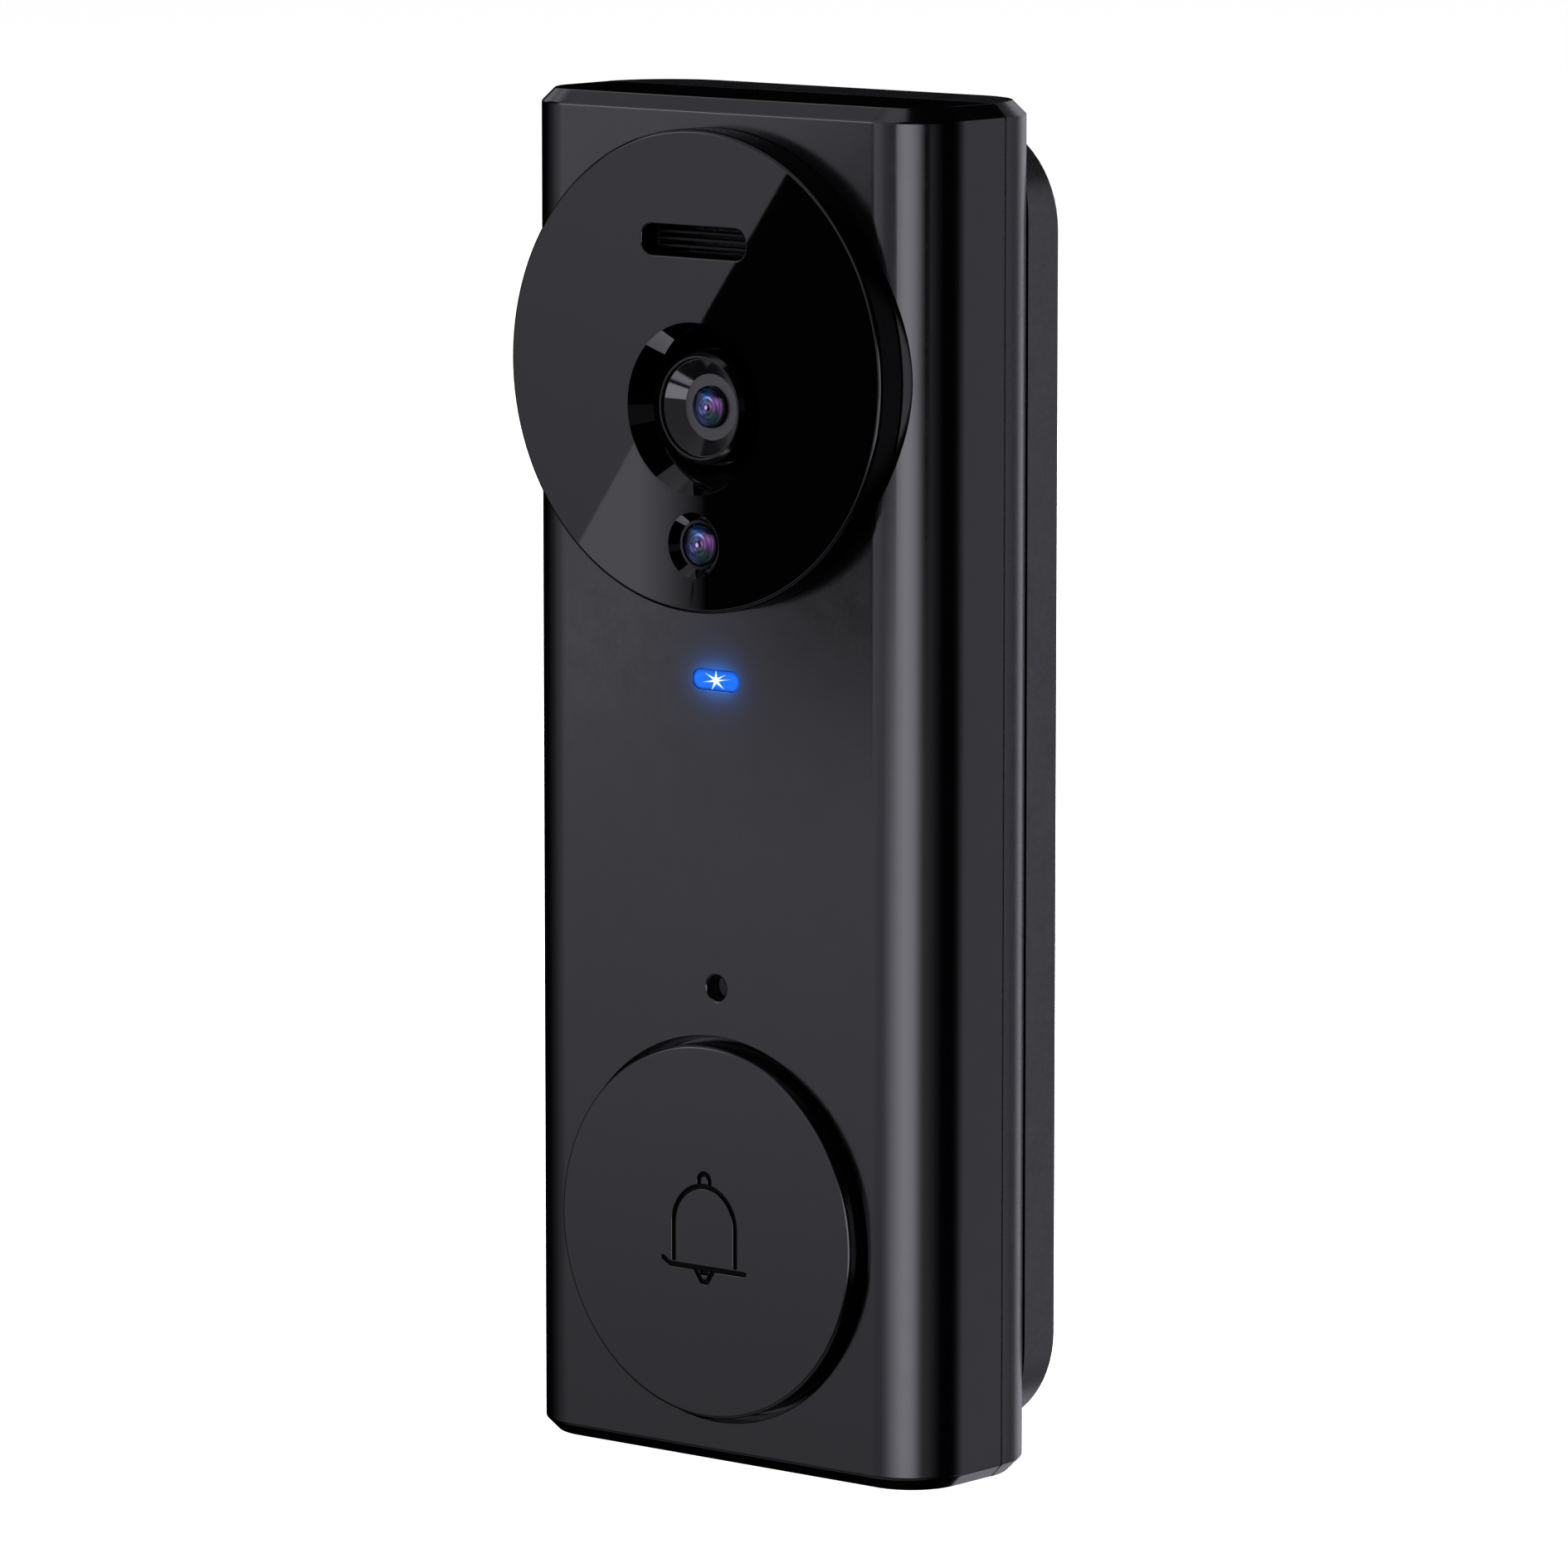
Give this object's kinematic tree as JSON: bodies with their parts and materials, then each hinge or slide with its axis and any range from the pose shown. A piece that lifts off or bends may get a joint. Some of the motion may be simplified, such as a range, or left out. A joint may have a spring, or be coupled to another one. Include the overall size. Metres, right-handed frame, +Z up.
{
  "type": "video doorbell",
  "caption": "Slim upright battery video doorbell: glossy black housing, round camera cover, status light and large bell button, hung on a screwed wall bracket.",
  "frame": {"origin": "middle of the wall bracket's flat wall face, halfway up the housing", "axes": "+Y points into the wall and the front faces -Y, +Z is up, +X is to the right of someone facing the doorbell"},
  "size_m": [0.054, 0.0283, 0.14],
  "materials": {
    "shell_gloss": "polished black injection-moulded plastic",
    "cover_gloss": "mirror-gloss black acrylic",
    "button_satin": "fine satin black plastic",
    "rear_plastic": "semi-gloss black plastic",
    "bracket_plastic": "fine-textured black plastic",
    "grille_plastic": "matt black plastic",
    "barrel_black": "black anodised, fine turned",
    "coated_glass": "violet and blue anti-reflection coating",
    "clear_glass": "clear polished",
    "sensor_chip": "dark glassy chip",
    "board_green": "green solder mask",
    "shield_tin": "tinned steel",
    "screw_steel": "zinc-plated steel",
    "spring_steel": "drawn spring wire",
    "rubber_black": "soft matt black rubber",
    "seal_silicone": "grey translucent silicone",
    "light_guide": "frosted clear guide, lit blue",
    "led_white": "white ceramic-filled package",
    "chip_black": "matt moulded epoxy",
    "flex_amber": "amber polyimide film",
    "foam_grey": "closed-cell foam",
    "adhesive_white": "double-sided tape",
    "battery_wrap": "silver pouch film",
    "lead_red": "silicone-insulated wire",
    "connector_white": "natural nylon",
    "chassis_grey": "dark grey plastic",
    "mesh_steel": "woven steel mesh"
  },
  "bodies": {
    "bracket": {"wall_bracket": "bracket_plastic"},
    "doorbell": {"front_shell": "shell_gloss", "rear_shell": "rear_plastic", "shell_gasket": "seal_silicone", "camera_cover": "cover_gloss", "cover_adhesive": "adhesive_white", "speaker_grille": "grille_plastic", "speaker_gasket": "foam_grey", "speaker": "chip_black", "speaker_diaphragm": "mesh_steel", "speaker_leads": "lead_red", "lens_bezel": "cover_gloss", "lens_barrel": "barrel_black", "lens_retainer": "barrel_black", "front_lens": "coated_glass", "lens_spacer": "barrel_black", "inner_lens": "clear_glass", "lens_holder": "chip_black", "image_sensor": "sensor_chip", "lower_bezel": "cover_gloss", "lower_lens": "coated_glass", "lower_camera": "chip_black", "camera_board": "board_green", "camera_ribbon": "flex_amber", "main_board": "board_green", "processor_can": "shield_tin", "wireless_module": "shield_tin", "aerial": "shield_tin", "battery_connector": "connector_white", "battery_pack": "battery_wrap", "battery_foam": "foam_grey", "battery_leads": "lead_red", "button_board": "board_green", "button_ribbon": "flex_amber", "status_light_pipe": "light_guide", "status_led": "led_white", "mic_mesh": "mesh_steel", "mic_boot": "rubber_black", "microphone": "shield_tin", "button_seal": "seal_silicone", "button_spring": "spring_steel", "bell_switch": "chip_black", "usb_socket": "shield_tin", "usb_cover_pin": "screw_steel", "reset_switch": "chip_black", "chassis": "chassis_grey", "shell_screws": "screw_steel", "chassis_screws": "screw_steel", "board_screws": "screw_steel"},
    "bell_button": {"bell_button": "button_satin"},
    "switch_plunger": {"switch_plunger": "connector_white"},
    "reset_button": {"reset_button": "button_satin"},
    "usb_cover": {"usb_cover": "rubber_black"}
  },
  "joints": [
    {"name": "doorbell_lift", "type": "slide", "parent": "bracket", "child": "doorbell", "axis": [0, 0, 1], "range_m": [0, 0.006]},
    {"name": "bell_button_press", "type": "slide", "parent": "doorbell", "child": "bell_button", "axis": [0, 1, 0], "range_m": [0, 0.0007], "stiffness_N_per_m": 1200, "springref_m": -0.001, "deforming": ["button_spring"]},
    {"name": "switch_plunger_press", "type": "slide", "parent": "doorbell", "child": "switch_plunger", "axis": [0, 1, 0], "range_m": [0, 0.0007]},
    {"name": "reset_button_press", "type": "slide", "parent": "doorbell", "child": "reset_button", "axis": [0, 0, 1], "range_m": [0, 0.00035], "stiffness_N_per_m": 900, "springref_m": -0.0008},
    {"name": "usb_cover_hinge", "type": "hinge", "parent": "doorbell", "child": "usb_cover", "pos_m": [-0.0073, -0.0182, -0.0694], "axis": [0, 1, 0], "range_deg": [0, 105]}
  ],
  "couplings": [
    {"joint": "switch_plunger_press", "follows": "bell_button_press", "ratio": 1}
  ]
}
